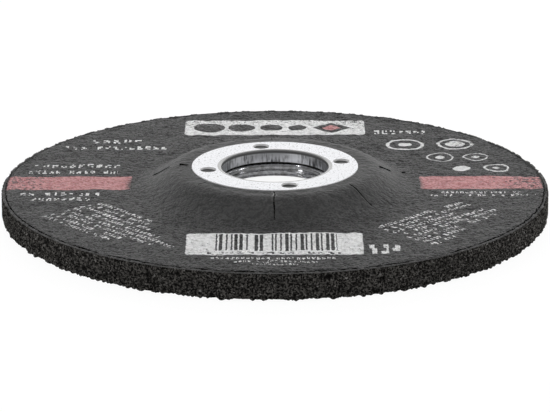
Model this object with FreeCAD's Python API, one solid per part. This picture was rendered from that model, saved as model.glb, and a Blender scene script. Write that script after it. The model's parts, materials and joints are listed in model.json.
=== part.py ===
import FreeCAD, Part
import math
import os

# A depressed-centre grinding disc for angle grinders, 115 x 6 x 22.23 mm.
#
# The disc is a pressed wheel of abrasive grain in resin. Its middle is cranked upwards, so that the clamping
# nut of the machine sits in a recess and stays clear of the work. A printed paper disc is pressed flush into
# the cranked side, and two pressed steel rings line the bore: one with a wide flange on the label side, and a
# shorter, thicker one from the grinding face. A narrow gap is left between the ends of their collars.
#
# Frame: the origin lies on the bore axis in the plane of the grinding face, and +Z runs along the axis from
# the grinding face to the label side. All lengths are millimetres and all angles are degrees.
#
# Every piece is turned about the axis, so each is drawn as a section of corners. A corner is the point where
# two straight runs would meet, with the radius of the arc that joins them.

# Wheel
wheel_diameter = 115.0
wheel_thickness = 6.0
bore_diameter = 22.23
rim_face_bevel = 0.4
rim_label_bevel = 0.2

# Hub on the label side; its diameter is taken half way up the flank
hub_rise = 4.3
hub_diameter = 48.8
hub_slope = 36.0
hub_shoulder_radius = 5.0
hub_foot_radius = 8.0

# Recess under the hub; its diameter is taken half way down the wall
recess_depth = 4.6
recess_diameter = 45.0
recess_slope = 40.0
recess_corner_radius = 3.0
recess_mouth_radius = 5.0

# Paper label, with the short slits that let flat paper follow the flank of the hub
label_thickness = 0.2
label_margin = 0.7
label_hole_diameter = 25.0
slit_count = 8
slit_width = 0.25
slit_inner_diameter = 37.0
slit_outer_diameter = 53.0
slit_start_angle = -90.0

# Ring on the label side: flange, collar and four keying holes
ring_flange_diameter = 35.0
ring_sheet = 0.5
ring_bend = 0.1
ring_edge_bevel = 0.1
ring_proud = 0.1
ring_hole_count = 4
ring_hole_diameter = 3.4
ring_hole_circle = 28.6
ring_hole_start_angle = 12.0

# Ring on the grinding face: short thick collar with a rounded crest, and a narrow flange in the recess floor
face_ring_wall = 0.8
face_ring_height = 2.75
face_ring_flange_diameter = 29.0
face_ring_flange_thickness = 0.5
face_ring_crest_round = 0.7
face_ring_entry_bevel = 0.25

# Gap between the two collars, and the fit of the pressed parts in their seats
collar_gap = 0.45
seat_clearance = 0.05

# Radii and levels that follow from the sizes above
rim_radius = wheel_diameter / 2
bore_radius = bore_diameter / 2
label_radius = rim_radius - label_margin
flange_radius = ring_flange_diameter / 2
face_flange_radius = face_ring_flange_diameter / 2
hub_level = wheel_thickness + hub_rise
ring_top_level = hub_level + ring_proud
flange_seat_level = ring_top_level - ring_sheet
crest_level = recess_depth + face_ring_height
collar_end_level = crest_level + collar_gap


def section_face(corners):
    """Closed face in the radius and height plane from (radius, height, bend) corners.

    At each corner with a bend, the two straight runs stop short by bend times the tangent of half the turn,
    and an arc through the point nearest to the corner joins them."""
    points = [FreeCAD.Vector(radius, 0, height) for radius, height, _ in corners]
    bends = [bend for _, _, bend in corners]
    entries = []
    exits = []
    edges = []
    for index, corner in enumerate(points):
        before = (points[index - 1] - corner).normalize()
        after = (points[(index + 1) % len(points)] - corner).normalize()
        half_turn = (math.pi - before.getAngle(after)) / 2
        run_off = bends[index] * math.tan(half_turn)
        entries.append(corner + before * run_off)
        exits.append(corner + after * run_off)
        if bends[index] > 0:
            inwards = (before + after).normalize()
            middle = corner + inwards * bends[index] * (1 / math.cos(half_turn) - 1)
            edges.append(Part.Arc(entries[index], middle, exits[index]).toShape())
    for index in range(len(points)):
        start = exits[index - 1]
        if (start - entries[index]).Length > 1e-6:
            edges.append(Part.LineSegment(start, entries[index]).toShape())
    return Part.Face(Part.Wire(Part.__sortEdges__(edges)))


def turned(corners):
    """Solid of revolution about the bore axis."""
    return section_face(corners).revolve(FreeCAD.Vector(0, 0, 0), FreeCAD.Vector(0, 0, 1), 360)


def flank_corners(diameter, drop, slope, high, depth=0.0):
    """Radius and height of the two corners of a cranked surface, the high one first.

    A surface that lies a depth under the drawn one is parallel to it, so both of its corners move towards
    the axis by the depth times the tangent of half the slope."""
    half_run = drop / 2 / math.tan(math.radians(slope))
    shift = depth * math.tan(math.radians(slope / 2))
    inner = (diameter / 2 - half_run - shift, high - depth)
    outer = (diameter / 2 + half_run - shift, high - drop - depth)
    return inner, outer


def hub_surface(depth=0.0):
    """Shoulder and foot corners of the hub, from the axis outwards, at a depth under the label's surface."""
    shoulder, foot = flank_corners(hub_diameter, hub_rise, hub_slope, hub_level, depth)
    return [
        (*shoulder, hub_shoulder_radius - depth),
        (*foot, hub_foot_radius + depth),
    ]


def recess_surface():
    """Floor and mouth corners of the recess, from the axis outwards."""
    floor, mouth = flank_corners(recess_diameter, recess_depth, recess_slope, recess_depth)
    return [
        (*floor, recess_corner_radius),
        (*mouth, recess_mouth_radius),
    ]


def abrasive_body():
    """Pressed wheel with seats for the label and for both rings."""
    label_seat_radius = label_radius + seat_clearance
    step_radius = flange_radius + seat_clearance + label_thickness
    ring_bore_radius = bore_radius + ring_sheet + seat_clearance
    face_ring_bore_radius = bore_radius + face_ring_wall + seat_clearance
    face_seat_radius = face_flange_radius + seat_clearance
    face_seat_level = recess_depth + face_ring_flange_thickness
    under_flange = flange_seat_level - label_thickness
    label_side = [
        (rim_radius, wheel_thickness - rim_label_bevel, 0),
        (rim_radius - rim_label_bevel, wheel_thickness, 0),
        (label_seat_radius, wheel_thickness, 0),
        (label_seat_radius, wheel_thickness - label_thickness, 0),
        *reversed(hub_surface(label_thickness)),
        (step_radius, hub_level - label_thickness, 0),
        (step_radius, under_flange, 0),
    ]
    bore = [
        (ring_bore_radius + ring_bend, under_flange, 0),
        (ring_bore_radius, under_flange - ring_bend, 0),
        (ring_bore_radius, crest_level + seat_clearance, 0),
        (face_ring_bore_radius, crest_level + seat_clearance, 0),
        (face_ring_bore_radius, face_seat_level, 0),
        (face_seat_radius, face_seat_level, 0),
        (face_seat_radius, recess_depth, 0),
    ]
    grinding_face = [
        *recess_surface(),
        (rim_radius - rim_face_bevel, 0, 0),
        (rim_radius, rim_face_bevel, 0),
    ]
    return turned(label_side + bore + grinding_face)


def slit(angle):
    """One cutter for a radial slit, long enough to pass through the label."""
    length = (slit_outer_diameter - slit_inner_diameter) / 2
    corner = FreeCAD.Vector(slit_inner_diameter / 2, -slit_width / 2, 0)
    cutter = Part.makeBox(length, slit_width, 2 * hub_level, corner)
    cutter.rotate(FreeCAD.Vector(0, 0, 0), FreeCAD.Vector(0, 0, 1), angle)
    return cutter


def paper_label():
    """Thin dished disc: its upper surface, then the parallel surface that lies on the wheel."""
    seat_radius = flange_radius + seat_clearance
    hole_radius = label_hole_diameter / 2
    upper = [
        (label_radius, wheel_thickness, 0),
        *reversed(hub_surface()),
        (seat_radius, hub_level, 0),
        (seat_radius, flange_seat_level, 0),
        (hole_radius, flange_seat_level, 0),
    ]
    lower = [
        (hole_radius, flange_seat_level - label_thickness, 0),
        (seat_radius + label_thickness, flange_seat_level - label_thickness, 0),
        (seat_radius + label_thickness, hub_level - label_thickness, 0),
        *hub_surface(label_thickness),
        (label_radius, wheel_thickness - label_thickness, 0),
    ]
    cutters = [slit(slit_start_angle + 360 * index / slit_count) for index in range(slit_count)]
    return turned(upper + lower).cut(Part.makeCompound(cutters)).Solids[0]


def label_side_ring():
    """Flange and collar of one sheet, bent at the mouth of the bore, with the keying holes punched.

    The sheet thickens a little inside its bend. Each punch starts one sheet under the flange and ends one
    sheet above it."""
    ring = turned([
        (flange_radius, ring_top_level - ring_edge_bevel, 0),
        (flange_radius - ring_edge_bevel, ring_top_level, 0),
        (bore_radius, ring_top_level, ring_bend + ring_sheet),
        (bore_radius, collar_end_level, 0),
        (bore_radius + ring_sheet, collar_end_level, 0),
        (bore_radius + ring_sheet, flange_seat_level - ring_bend, 0),
        (bore_radius + ring_sheet + ring_bend, flange_seat_level, 0),
        (flange_radius, flange_seat_level, 0),
    ])
    holes = []
    for index in range(ring_hole_count):
        angle = math.radians(ring_hole_start_angle + 360 * index / ring_hole_count)
        centre = FreeCAD.Vector(
            ring_hole_circle / 2 * math.cos(angle),
            ring_hole_circle / 2 * math.sin(angle),
            flange_seat_level - ring_sheet,
        )
        holes.append(Part.makeCylinder(ring_hole_diameter / 2, 3 * ring_sheet, centre))
    return ring.cut(Part.makeCompound(holes)).Solids[0]


def face_side_ring():
    """Thick collar with a rounded crest, and a flange that lies flush in the floor of the recess."""
    return turned([
        (bore_radius + face_ring_entry_bevel, recess_depth, 0),
        (bore_radius, recess_depth + face_ring_entry_bevel, 0),
        (bore_radius, crest_level, face_ring_crest_round),
        (bore_radius + face_ring_wall, crest_level, 0),
        (bore_radius + face_ring_wall, recess_depth + face_ring_flange_thickness, 0),
        (face_flange_radius, recess_depth + face_ring_flange_thickness, 0),
        (face_flange_radius, recess_depth, 0),
    ])


os.makedirs("parts", exist_ok=True)
pieces = {
    "abrasive_body": abrasive_body(),
    "paper_label": paper_label(),
    "label_side_ring": label_side_ring(),
    "face_side_ring": face_side_ring(),
}
for name, shape in pieces.items():
    shape.exportStep(f"parts/{name}.step")
    box = shape.BoundBox
    print(f"{name}: {shape.Volume:.1f} mm3, valid {shape.isValid()}, z {box.ZMin:.2f} to {box.ZMax:.2f}")
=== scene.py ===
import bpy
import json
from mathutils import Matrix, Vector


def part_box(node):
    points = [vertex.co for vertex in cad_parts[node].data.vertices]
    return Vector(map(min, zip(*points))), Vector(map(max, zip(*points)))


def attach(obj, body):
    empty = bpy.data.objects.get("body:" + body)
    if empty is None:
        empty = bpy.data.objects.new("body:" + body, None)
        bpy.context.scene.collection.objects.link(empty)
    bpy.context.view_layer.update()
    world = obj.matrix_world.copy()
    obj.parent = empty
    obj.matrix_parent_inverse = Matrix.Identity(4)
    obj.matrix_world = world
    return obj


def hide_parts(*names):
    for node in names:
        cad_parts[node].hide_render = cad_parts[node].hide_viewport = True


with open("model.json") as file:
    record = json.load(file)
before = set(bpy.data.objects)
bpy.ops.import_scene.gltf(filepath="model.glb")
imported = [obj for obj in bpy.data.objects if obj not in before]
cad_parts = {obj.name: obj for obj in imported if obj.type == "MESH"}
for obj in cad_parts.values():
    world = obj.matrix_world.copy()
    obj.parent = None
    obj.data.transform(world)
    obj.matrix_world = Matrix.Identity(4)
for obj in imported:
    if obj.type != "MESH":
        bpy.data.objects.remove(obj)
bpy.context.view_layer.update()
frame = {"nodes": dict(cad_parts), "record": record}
print("nodes:", sorted(frame["nodes"]))

# %% [markdown]
# # A depressed-centre grinding disc
#
# The object is a pressed wheel of abrasive grain with a raised hub, a paper label on the hub side, and two
# pressed steel rings that line the bore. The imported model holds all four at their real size, so this lesson
# only dresses them: gritty grain on the wheel, print and creases on the paper, drawing marks on the steel.
#
# Every surface here is worked out as whole numpy arrays in millimetres, and becomes a mesh in metres at the
# very end. The wheel, the label and the rings are all turned about the bore axis, so most of the shapes are
# a profile in radius and height carried round a circle.

# %% Tools and the sizes that the frame already knows
import json
import math

import bpy
import numpy as np

MM = 0.001
SEED = 7


def corners_of(node):
    """Least and greatest x, y and z of a node, in millimetres."""
    return np.array(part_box(node)) / MM


bore_radius = next(m for m in frame["record"]["mounts"] if m["name"] == "bore")["dims"]["r_mm"]
rim_radius = corners_of("abrasive_body")[1, 0]
label_radius, hub_level = corners_of("paper_label")[1, [0, 2]]
flange_radius, ring_top = corners_of("label_side_ring")[1, [0, 2]]
collar_end = corners_of("label_side_ring")[0, 2]
face_flange_radius, crest_level = corners_of("face_side_ring")[1, [0, 2]]
recess_depth = corners_of("face_side_ring")[0, 2]
print(f"rim {rim_radius:.2f}, label {label_radius:.2f}, bore {bore_radius:.3f}, hub top {hub_level:.2f} mm")

# %% [markdown]
# The boxes of the nodes give the outermost sizes. The ones that lie within the section come from the drawing
# of the disc, and they have to be written down again.

# %% Sizes of the section that the boxes don't show
wheel_thickness = 6.0
hub_rise = hub_level - wheel_thickness
hub_diameter = 48.8
hub_slope = 36.0
hub_shoulder_radius = 5.0
hub_foot_radius = 8.0
recess_diameter = 45.0
recess_slope = 40.0
recess_corner_radius = 3.0
recess_mouth_radius = 5.0
label_thickness = 0.2
label_hole_radius = 12.5
ring_sheet = 0.5
ring_bend = 0.1
face_ring_wall = 0.8
face_flange_thickness = 0.5
face_ring_crest_round = 0.7
face_ring_entry_round = 0.25
seat_clearance = 0.05
flange_seat_level = ring_top - ring_sheet
under_ring_radius = flange_radius + seat_clearance

# %% [markdown]
# ## Profiles
#
# A pressed form has straight runs joined by arcs. Writing every profile as a few corners, each with the
# radius of its bend, keeps the shape readable: the shoulder and foot of the hub are two corners, not fifty
# points. One helper rounds the corners, and another adds points where a surface needs a fine mesh.

# %% Rounded and divided profiles
def outline(corners, arc_step=7.0):
    """Points of radius and height along straight runs that are joined by tangent arcs.

    At a corner with bend b and turn t, the runs stop b times tan(t / 2) short of it, and the centre of the
    arc lies b / cos(t / 2) away from it along the line that halves the corner."""
    corners = np.array(corners, float)
    places, bends = corners[:, :2], corners[:, 2]
    before = np.roll(places, 1, 0) - places
    after = np.roll(places, -1, 0) - places
    before /= np.linalg.norm(before, axis=1)[:, None]
    after /= np.linalg.norm(after, axis=1)[:, None]
    half_turns = (math.pi - np.arccos(np.clip((before * after).sum(1), -1, 1))) / 2
    runs = []
    for place, bend, back, ahead, half in zip(places, bends, before, after, half_turns):
        if bend == 0:
            runs.append(place[None])
            continue
        middle = (back + ahead) / np.linalg.norm(back + ahead)
        centre = place + middle * bend / math.cos(half)
        first = place + back * bend * math.tan(half) - centre
        count = max(2, math.ceil(math.degrees(2 * half) / arc_step)) + 1
        side = np.sign(back[0] * ahead[1] - back[1] * ahead[0])
        angles = math.atan2(first[1], first[0]) - side * np.linspace(0, 2 * half, count)
        runs.append(centre + bend * np.stack([np.cos(angles), np.sin(angles)], 1))
    return np.concatenate(runs)


def divided(profile, step):
    """The same profile with more points on its longer runs, so that no gap is wider than the step."""
    lengths = np.linalg.norm(np.diff(profile, axis=0), axis=1)
    counts = np.maximum(1, np.ceil(lengths / step - 1e-6)).astype(int)
    runs = [
        np.linspace(start, end, count, endpoint=False)
        for start, end, count in zip(profile[:-1], profile[1:], counts)
    ]
    return np.concatenate([*runs, profile[-1:]])


def flank(diameter, drop, slope, high, depth=0.0):
    """High and low corner of a cranked surface that lies a depth under the drawn one.

    Both corners move towards the axis by the depth times the tangent of half the slope."""
    half_run = drop / 2 / math.tan(math.radians(slope))
    shift = depth * math.tan(math.radians(slope / 2))
    inner = (diameter / 2 - half_run - shift, high - depth)
    outer = (diameter / 2 + half_run - shift, high - drop - depth)
    return inner, outer


def hub_corners(depth=0.0):
    """Foot and shoulder of the hub, from the rim inwards, at a depth under the label's upper surface."""
    shoulder, foot = flank(hub_diameter, hub_rise, hub_slope, hub_level, depth)
    return [(*foot, hub_foot_radius + depth), (*shoulder, hub_shoulder_radius - depth)]


print("hub corners:", np.round(hub_corners(), 2).tolist())

# %% [markdown]
# ## Turned grids
#
# A profile carried round the axis gives a grid: one row of points for each profile point. The rim needs a
# very fine grid, because its grains are half a millimetre wide, and the surface under the label needs hardly
# any. So the wheel is built from bands with different numbers of columns, and where the number halves, a row
# of triangles joins two fine steps to one coarse step. The mesh stays closed and small.

# %% Grid points, quads, and the join between a fine and a coarse row
def turned(profile, count):
    """Grid of points: x = radius cos(angle), y = radius sin(angle), z = height, with count equal angles."""
    angles = np.arange(count) * 2 * math.pi / count
    radius, height = profile[:, 0, None], profile[:, 1, None]
    return np.stack([radius * np.cos(angles), radius * np.sin(angles), height + 0 * angles], -1)


def quads_joining(row, next_row):
    """Corner numbers of the quads between two closed rows of points, or between two stacks of such rows."""
    corners = [row, np.roll(row, -1, -1), np.roll(next_row, -1, -1), next_row]
    return np.stack(corners, -1).reshape(-1, 4)


def quads_between(rows, columns, first=0):
    """Corner numbers of the quads between neighbouring rows of a grid that goes all the way round."""
    numbers = first + np.arange(rows * columns).reshape(rows, columns)
    return quads_joining(numbers[:-1], numbers[1:])


def join_rows(first_a, count_a, first_b, count_b):
    """Quads and triangles between two rows of which one may have twice as many points as the other.

    Each coarse step c0, c1 meets two fine steps f0, f1, f2 in three triangles. They are listed for a fine
    row that comes first, and their corners are taken backwards where the coarse row does."""
    if count_a == count_b:
        numbers = np.arange(count_a)
        return quads_joining(first_a + numbers, first_b + numbers), np.zeros((0, 3), int)
    fine_first, coarse_first = (first_a, first_b) if count_a > count_b else (first_b, first_a)
    count = min(count_a, count_b)
    numbers = np.arange(count)
    c0, c1 = (coarse_first + (numbers + k) % count for k in range(2))
    f0, f1, f2 = (fine_first + (2 * numbers + k) % (2 * count) for k in range(3))
    triangles = np.concatenate([np.stack(t, -1) for t in ((f0, f1, c0), (f1, c1, c0), (f1, f2, c1))])
    return np.zeros((0, 4), int), triangles if count_a > count_b else triangles[:, ::-1]


def new_piece(name, points, faces, sharp_angle, inside_out=False):
    """A smooth-shaded object at the origin, from points in millimetres and arrays of corner numbers.

    Light and Solidify both go by the side that a face turns outwards. Where a profile runs the other way
    round, its faces come out inside out, and each is turned: it keeps its first corner and goes back."""
    if inside_out:
        faces = [np.roll(group[:, ::-1], 1, axis=1) for group in faces]
    mesh = bpy.data.meshes.new(name)
    mesh.from_pydata((points * MM).tolist(), [], [corners for group in faces for corners in group.tolist()])
    mesh.shade_smooth()
    mesh.set_sharp_from_angle(angle=math.radians(sharp_angle))
    made = bpy.data.objects.new(name, mesh)
    bpy.context.scene.collection.objects.link(made)
    print(f"{name}: {len(points)} points, {sum(len(g) * (g.shape[1] - 2) for g in faces)} triangles")
    return made


def store(piece, name, values):
    """Keeps one number for each point of a piece, where its material can read it by name."""
    attribute = piece.data.attributes.new(name, "FLOAT", "POINT")
    attribute.data.foreach_set("value", values.ravel().astype(np.float32))


def thicken(piece, name, thickness):
    """A Solidify modifier that gives a sheet its thickness, on the side away from its outer face."""
    sheet = piece.modifiers.new(name, "SOLIDIFY")
    sheet.thickness = thickness * MM
    sheet.offset = -1


# %% [markdown]
# ## Random fields
#
# Grain and creases come from two repeatable fields in space. Smooth noise blends random numbers that sit on
# a lattice. The grain field scatters one point in each lattice cell and compares how far the two nearest
# ones are, which gives round bumps of uneven size, close to how real grains lie. Both are worked out for all
# points of a surface at once. A hash of the lattice cell stands in for a random generator, so that every run
# is the same.

# %% Hash, smooth noise and grains
def cell_random(cells, seed):
    """Number from 0 to 1 for each whole-number cell, from its coordinates by multiplying and shifting."""
    x, y, z = (cells[..., axis].astype(np.int64).astype(np.uint32) for axis in range(3))
    mixed = x * np.uint32(374761393) + y * np.uint32(668265263) + z * np.uint32(2246822519)
    mixed = mixed + np.uint32(seed * 974711 % 2**32)
    for shift in (15, 13):
        mixed = (mixed ^ (mixed >> np.uint32(shift))) * np.uint32(2654435761)
    return (mixed >> np.uint32(8)).astype(float) / 2**24


def smooth_noise(points, size, seed):
    """Field from -1 to 1: lattice values blended with weights 3 t^2 - 2 t^3 along each axis."""
    cells = np.floor(points / size)
    part = points / size - cells
    part = part * part * (3 - 2 * part)
    total = 0.0
    for corner in np.ndindex(2, 2, 2):
        weight = np.prod(np.where(corner, part, 1 - part), axis=-1)
        total = total + weight * cell_random(cells + corner, seed)
    return 2 * total - 1


def layered_noise(points, size, seed, layers=3):
    """Smooth noise with finer layers added, each half as wide and half as strong as the last."""
    total = sum(smooth_noise(points, size / 2**k, seed + k) / 2**k for k in range(layers))
    return total / (2 - 0.5 ** (layers - 1))


def grains(points, size, seed, crevice=0.3):
    """Packed grains: 0 in the crevices between them, and up to 1 on top of each.

    The two nearest of the scattered centres are found for each point. The difference of their distances is
    0 on the border of a grain and grows inwards. Cut off at the crevice width, it is t from 0 to 1, the
    grain's rounded top is 1 - (1 - t)^2, and that is scaled by the grain's own random height."""
    cells = np.floor(points / size)
    nearest = np.full(points.shape[:-1], 9.0)
    second = nearest.copy()
    height = np.zeros(points.shape[:-1])
    for step in np.ndindex(3, 3, 3):
        cell = cells + np.array(step) - 1
        centre = cell + np.stack([cell_random(cell, seed + axis) for axis in range(3)], -1)
        distance = np.linalg.norm(points / size - centre, axis=-1)
        closer = distance < nearest
        second = np.where(closer, nearest, np.minimum(second, distance))
        nearest = np.where(closer, distance, nearest)
        height = np.where(closer, 0.6 + 0.4 * cell_random(cell, seed + 3), height)
    t = np.clip((second - nearest) / crevice, 0, 1)
    return (1 - (1 - t) ** 2) * height


# %% [markdown]
# ## The abrasive wheel
#
# A pressed wheel has no smooth skin where it works: the rim and the grinding face are grains in dark resin,
# with pits between them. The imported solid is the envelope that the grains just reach, so every bump is made
# by sinking the surface between them and never by raising it. Where the wheel carries the label and the
# rings it was pressed against smooth tools, so those stretches stay as drawn.

# %% Bands of the wheel's section, each with its own step and number of columns
rim_columns = 1280
rim_step = 0.25
face_step = 0.62
recess_step = 0.6
hub_step = 2.0
label_edge_round = 0.25
face_edge_round = 0.4
label_seat = label_radius + seat_clearance
face_seat = face_flange_radius + seat_clearance
collar_bore = bore_radius + face_ring_wall + seat_clearance
sheet_bore = bore_radius + ring_sheet + seat_clearance
face_edge = rim_radius - 0.9
recess_floor, recess_mouth = flank(recess_diameter, recess_depth, recess_slope, recess_depth)
mouth_start = recess_mouth[0] + recess_mouth_radius
under_label = wheel_thickness - label_thickness
under_flange = flange_seat_level - label_thickness
step_radius = under_ring_radius + label_thickness
face_seat_level = recess_depth + face_flange_thickness

rim_band = divided(
    outline([
        (label_seat, under_label, 0),
        (label_seat, wheel_thickness, 0),
        (rim_radius, wheel_thickness, label_edge_round),
        (rim_radius, 0, face_edge_round),
        (face_edge, 0, 0),
    ], arc_step=25),
    rim_step,
)
face_band = divided(np.array([(face_edge - 0.5, 0), (mouth_start, 0)]), face_step)
recess_band = divided(
    outline([
        (mouth_start - 0.3, 0, 0),
        (*recess_mouth, recess_mouth_radius - 0.4),
        (*recess_floor, recess_corner_radius),
        (face_seat, recess_depth, 0),
    ]),
    recess_step,
)
bore_band = np.array([
    (face_seat, face_seat_level),
    (collar_bore, face_seat_level),
    (collar_bore, crest_level + seat_clearance),
    (sheet_bore, crest_level + seat_clearance),
    (sheet_bore, under_flange - ring_bend),
    (sheet_bore + ring_bend, under_flange),
    (step_radius, under_flange),
    (step_radius, hub_level - label_thickness),
])
hub_band = divided(
    outline([
        (step_radius + 0.3, hub_level - label_thickness, 0),
        *reversed(hub_corners(label_thickness)),
        (label_seat - 2.4, under_label, 0),
    ]),
    hub_step,
)
seat_bands = [np.array([(label_seat - inset, under_label)]) for inset in (1.6, 0.8)]
bands = [
    (rim_band, rim_columns),
    (face_band, rim_columns // 2),
    (recess_band, rim_columns // 4),
    (bore_band, rim_columns // 4),
    (hub_band, rim_columns // 4),
    (seat_bands[0], rim_columns // 4),
    (seat_bands[1], rim_columns // 2),
]
print("rows in the bands:", [len(profile) for profile, _ in bands])


# %% Points, outward directions and faces of the whole wheel
def profile_normals(profile):
    """Outward direction at each profile point: the mean direction along the profile, turned a quarter."""
    closed = np.concatenate([profile[-1:], profile, profile[:1]])
    along = closed[2:] - closed[:-2]
    along /= np.linalg.norm(along, axis=1)[:, None]
    return np.stack([-along[:, 1], along[:, 0]], -1)


def turned_bands(bands):
    """Points, outward directions and faces of a closed turned solid whose bands differ in columns."""
    sizes = [len(profile) * count for profile, count in bands]
    starts = np.concatenate([[0], np.cumsum(sizes)])
    whole = np.concatenate([profile for profile, _ in bands])
    flat_normals = np.split(profile_normals(whole), np.cumsum([len(p) for p, _ in bands])[:-1])
    points, normals, quads, triangles = [], [], [], []
    for index, (profile, count) in enumerate(bands):
        points.append(turned(profile, count).reshape(-1, 3))
        normals.append(turned(flat_normals[index], count).reshape(-1, 3))
        quads.append(quads_between(len(profile), count, starts[index]))
        following = (index + 1) % len(bands)
        last_row = starts[index] + (len(profile) - 1) * count
        more_quads, more_triangles = join_rows(last_row, count, starts[following], bands[following][1])
        quads.append(more_quads)
        triangles.append(more_triangles)
    faces = [np.concatenate(quads), np.concatenate(triangles)]
    return np.concatenate(points), np.concatenate(normals), faces


wheel_points, wheel_normals, wheel_faces = turned_bands(bands)
radius = np.hypot(wheel_points[:, 0], wheel_points[:, 1])
height = wheel_points[:, 2]
print("wheel points:", len(wheel_points))

# %% [markdown]
# ## How deep each point sinks
#
# Grains of three sizes and some pits make up the working surface. The rim has more of its own: pieces have
# broken from its lower edge, small bites from its upper one, and between them and the label the press left a
# narrow strip that is smoother. The grinding face shows the glass cloth that lies just under it, as a grid of
# soft ridges. Two of the fields are stored with the points, so that the material can paint shade into the
# crevices and pits, and leave the strip paler.

# %% Ramps, bells and cloth
def ramp(value, low, high):
    """0 below low, 1 above high, and 3 t^2 - 2 t^3 between them."""
    part = np.clip((value - low) / (high - low), 0, 1)
    return part * part * (3 - 2 * part)


def window(value, start, full, fading, end):
    """1 from full to fading, 0 before the start and after the end, with a ramp on each side."""
    return ramp(value, start, full) * (1 - ramp(value, fading, end))


def bell(distance, width):
    """Bump of height 1 that falls off as exp(-(distance / width)^2)."""
    return np.exp(-((distance / width) ** 2))


def cloth_ridges(points, pitch, width):
    """Height from 0 to 1 of a plain weave: each yarn is a rounded ridge that goes over and under in turn."""
    x, y = points[:, 0] / pitch, points[:, 1] / pitch
    over = np.cos(math.pi * np.round(x)) * np.cos(math.pi * np.round(y))
    warp = bell((x - np.round(x)) * pitch, width) * (0.7 + 0.3 * over)
    weft = bell((y - np.round(y)) * pitch, width) * (0.7 - 0.3 * over)
    return np.maximum(warp, weft)


# %% Which points lie on the rim, on the grinding face, in the label's seat and on the strip
on_face = (height < recess_depth + 0.01) & (radius > face_flange_radius + 0.1)
near_rim = ramp(radius, rim_radius - 4.0, rim_radius - 1.5)
on_rim = np.maximum(ramp(radius, label_seat - 0.05, label_seat + 0.1), on_face * near_rim)
low_edge = 1 - ramp(height, 0.1, 1.4)
top_edge = ramp(height, wheel_thickness - 0.6, wheel_thickness - 0.1)
in_seat = (height > under_label - 0.05) & (height < wheel_thickness - 0.05) & (radius < label_seat + 0.02)
top_share = (radius > label_seat - 0.01) * ramp(height, wheel_thickness - 0.22, wheel_thickness - 0.02)
top_share = np.maximum(top_share, in_seat)
under_paper = (height > under_label - 0.05) * ramp(label_seat - radius, 0.1, 0.8)
under_paper = under_paper * ramp(radius, step_radius, step_radius + 0.3)

# %% Grains, pits and broken edges
clump_size = 1.9
coarse_size = 0.95
fine_size = 0.45
lump_size = 1.5
cloth_pitch = 3.2
yarn_width = 0.75
least_sink = 0.24

clumps = grains(wheel_points, clump_size, SEED + 5, 0.45)
coarse_grains = grains(wheel_points, coarse_size, SEED)
fine_grains = grains(wheel_points, fine_size, SEED + 10)
pits = ramp(layered_noise(wheel_points, 1.2, SEED + 20), 0.3, 0.55)
projected = np.column_stack([wheel_points[:, :2] / radius[:, None] * rim_radius, 0.3 * height])
lumps = grains(projected, lump_size, SEED + 30, 0.5)
chips = ramp(layered_noise(projected, 4.0, SEED + 31), 0.05, 0.55)
bites = ramp(layered_noise(projected, 0.9, SEED + 32), -0.1, 0.4)
cloth = cloth_ridges(wheel_points, cloth_pitch, yarn_width)

# %% Sink the surface along its outward directions
edge_sink = low_edge * (0.5 * (1 - lumps) + 0.3 * chips)
grain_sink = 0.1 * (1 - clumps) + 0.32 * (1 - coarse_grains) + 0.24 * (1 - fine_grains) + 0.25 * pits
rim_sink = np.maximum(0, grain_sink - least_sink) * (1 - 0.4 * top_edge)
rim_sink = rim_sink + edge_sink + 0.36 * bites * top_edge
face_sink = 0.16 * (1 - cloth) + 0.14 * (1 - fine_grains) + 0.12 * (1 - coarse_grains) + 0.15 * pits
sink = np.maximum(0, on_rim * rim_sink + on_face * (1 - near_rim) * face_sink) + 0.5 * under_paper
wheel_points -= wheel_normals * sink[:, None]
print(f"deepest pit {sink.max():.2f} mm, mean sink at the rim {sink[on_rim > 0.5].mean():.2f} mm")

wheel = new_piece("grit_wheel", wheel_points, wheel_faces, sharp_angle=60, inside_out=True)
# Depth of the crevices and pits, which the grit material turns into painted shade
crevices = ramp(1 - coarse_grains, 0.35, 0.9)
rim_depth = np.maximum(0.8 * crevices, pits) * (1 - 0.75 * top_share)
grain_depth = np.where(on_rim > 0.5, rim_depth, on_face * 0.6 * (1 - fine_grains))
store(wheel, "depth", np.where(in_seat, 0.3, grain_depth))
store(wheel, "top", top_share)

# %% [markdown]
# ## The paper label
#
# The label is a disc of paper that was pressed flat on the wheel and into the crank of the hub. Flat paper
# can't follow a cone, so it has short radial slits on the flank, where it opened a little. The grid has one
# narrow strip of quads along each slit, and leaving out the quads of a strip between two radii makes a real
# gap with two torn edges. A slit is open along one stretch or two. At the slits on the far left and right
# the paper has torn on, so their lines turn aside.

# %% Slits, rows and columns of the label
slit_angles = np.radians([-90.5, -41.0, 5.5, 47.0, 92.0, 133.0, 176.5, 219.5])
slit_gaps = np.array([0.26, 0.3, 1.0, 0.1, 0.1, 0.1, 0.75, 0.24])
open_stretches = [
    (0, 18.1, 26.4),
    (1, 20.4, 26.2),
    (2, 22.2, 24.8),
    (2, 28.2, 29.2),
    (3, 19.5, 26.0),
    (4, 19.0, 26.0),
    (5, 19.8, 26.4),
    (6, 18.6, 19.9),
    (6, 22.6, 26.0),
    (7, 18.4, 20.6),
]
slit_bends = {
    2: ([18.0, 20.0, 22.2, 24.8, 28.8], [-5.5, -4.5, -2.6, 5.0, 12.3]),
    6: ([18.0, 22.0, 25.0, 30.0], [2.0, 0.0, -3.8, -11.5]),
}
sector_columns = 62
label_step = 0.5
slit_sway = 0.16

open_part = outline([
    (label_radius, wheel_thickness, 0),
    *hub_corners(),
    (under_ring_radius, hub_level, 0),
])
hidden_part = np.linspace((under_ring_radius, flange_seat_level), (label_hole_radius, flange_seat_level), 4)
label_profile = np.concatenate([divided(open_part, label_step), hidden_part])
row_radius = label_profile[:, 0, None]
row_height = label_profile[:, 1, None]


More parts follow.
